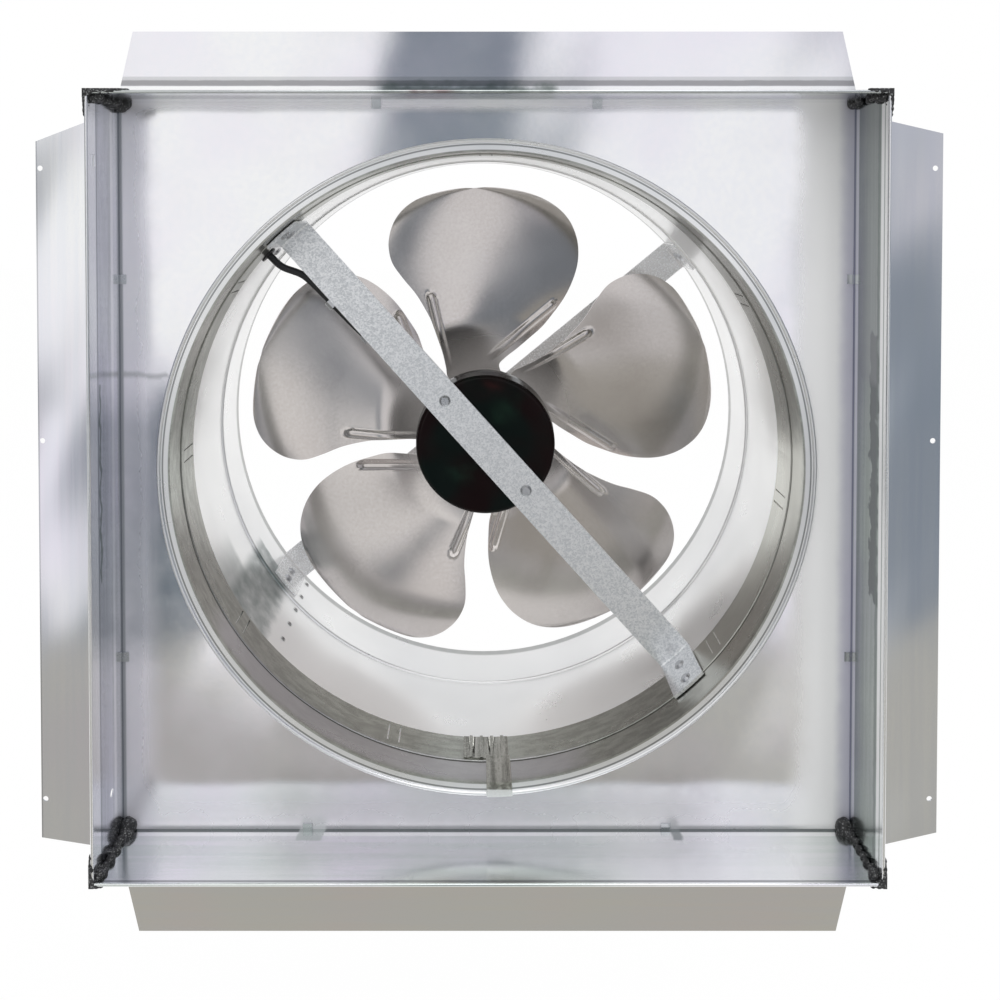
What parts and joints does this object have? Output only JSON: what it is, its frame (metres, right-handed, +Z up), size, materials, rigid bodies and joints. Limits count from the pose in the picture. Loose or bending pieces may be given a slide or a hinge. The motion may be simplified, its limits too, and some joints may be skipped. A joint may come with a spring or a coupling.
{
  "type": "attic fan",
  "caption": "Square galvanised attic fan: open tray with side mounting flanges, round barrel, strap-hung black motor and a paddle-blade fan on its shaft.",
  "frame": {"origin": "on the fan axis, in the plane of the rear face of the mounting flanges", "axes": "+X to the right seen from the open tray, +Z up, +Y along the fan axis from the open tray to the barrel's far end"},
  "size_m": [0.54, 0.2378, 0.542],
  "materials": {
    "galvanised": "galvanised sheet, satin, faint spangle",
    "galvanised_round": "galvanised sheet rolled round, satin to bright",
    "bright_sheet": "bright galvanised sheet",
    "strap_zinc": "zinc-coated strap with a fine spangle",
    "sealant": "black caulk, hand-smeared",
    "motor_black": "black gloss enamel on steel",
    "blade_aluminium": "mill-finish aluminium, satin",
    "hub_metal": "turned die-cast",
    "fastener": "zinc-plated steel",
    "black_fastener": "black oxide",
    "shaft_steel": "ground steel",
    "lamination": "stamped electrical steel",
    "winding": "enamelled copper wire",
    "bronze": "oil-soaked sintered bronze",
    "fibre": "fibre washer",
    "lead_black": "black insulated motor lead",
    "rubber": "black rubber grommet",
    "terminal_plastic": "moulded terminal block"
  },
  "bodies": {
    "housing": {"back_panel": "galvanised", "wall_top": "galvanised", "wall_bottom": "galvanised", "wall_left": "galvanised", "wall_right": "galvanised", "flange_top": "galvanised", "flange_bottom": "galvanised", "flange_left": "galvanised", "flange_right": "galvanised", "seam_tabs": "bright_sheet", "corner_sealant": "sealant", "inlet_collar": "galvanised_round", "collar_splice": "bright_sheet", "barrel": "galvanised_round", "barrel_lap": "galvanised_round", "front_strap": "strap_zinc", "front_strap_rivets": "fastener", "rear_strap": "strap_zinc", "rear_strap_rivets": "fastener", "motor_screws": "fastener", "motor_nuts": "fastener", "motor_front_shell": "motor_black", "motor_rear_shell": "motor_black", "motor_bolts": "black_fastener", "stator_core": "lamination", "stator_winding": "winding", "front_bearing": "bronze", "rear_bearing": "bronze", "motor_lead": "lead_black", "motor_grommet": "rubber", "wall_grommet": "rubber", "lead_clips": "fastener", "wiring_box": "galvanised", "wiring_box_cover": "galvanised", "wiring_box_screws": "fastener", "wiring_box_rivets": "fastener", "terminal_block": "terminal_plastic"},
    "fan": {"motor_shaft": "shaft_steel", "rotor_core": "lamination", "thrust_washers": "fibre", "fan_blades": "blade_aluminium", "fan_hub": "hub_metal", "hub_rivets": "fastener", "set_screw": "black_fastener"}
  },
  "joints": [
    {"name": "fan_spin", "type": "hinge", "parent": "housing", "child": "fan", "pos_m": [0, 0.16, 0], "axis": [0, 1, 0], "continuous": true}
  ]
}
